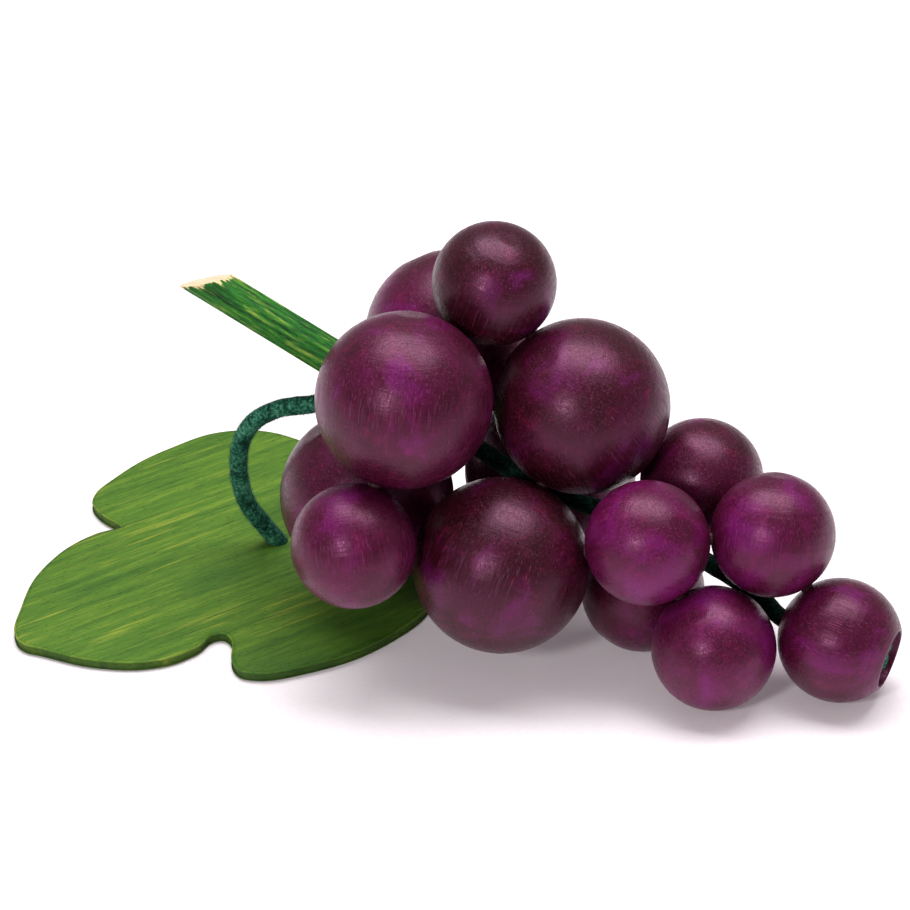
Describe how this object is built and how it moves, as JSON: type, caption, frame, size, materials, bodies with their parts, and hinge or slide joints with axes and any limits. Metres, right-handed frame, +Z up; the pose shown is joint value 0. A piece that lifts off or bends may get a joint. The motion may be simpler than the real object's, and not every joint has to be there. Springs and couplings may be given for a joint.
{
  "type": "wooden toy bunch of grapes",
  "caption": "Wooden toy bunch of grapes: stained turned balls in two sizes glued round a fluted stem, with a flat sawn leaf on a looped cord, lying on its side.",
  "frame": {"origin": "centre of the bounding box on the ground, the bunch lying down", "axes": "+Z up; +X along the bunch from the leaf to the end of the tail; +Y from the front of the bunch to the back of the leaf"},
  "size_m": [0.1792, 0.115, 0.0866],
  "materials": {
    "purple_stained_wood": "stained, satin",
    "green_stained_wood": "stained, matt",
    "green_cord": "soft braid",
    "beech": "bare"
  },
  "bodies": {
    "root": {"grape_large_front_left": "purple_stained_wood", "grape_large_front_right": "purple_stained_wood", "grape_large_bottom_front": "purple_stained_wood", "grape_large_back_left": "purple_stained_wood", "grape_large_bottom_left": "purple_stained_wood", "grape_large_bottom_back": "purple_stained_wood", "grape_small_top": "purple_stained_wood", "grape_small_front_left": "purple_stained_wood", "grape_small_front_middle": "purple_stained_wood", "grape_small_back_middle": "purple_stained_wood", "grape_small_back_left": "purple_stained_wood", "grape_small_tail_top": "purple_stained_wood", "grape_small_tail_front": "purple_stained_wood", "grape_small_tail_back": "purple_stained_wood", "grape_small_tail_end": "purple_stained_wood", "stem": "green_stained_wood", "leaf": "green_stained_wood", "leaf_cord": "green_cord", "spine_cord": "green_cord", "end_knot": "green_cord", "peg_01": "beech", "peg_02": "beech", "peg_03": "beech", "peg_04": "beech", "peg_05": "beech", "peg_06": "beech", "peg_07": "beech", "peg_08": "beech", "peg_09": "beech", "peg_10": "beech", "peg_11": "beech", "peg_12": "beech", "stem_peg_1": "beech", "stem_peg_2": "beech", "stem_peg_3": "beech"}
  },
  "joints": []
}
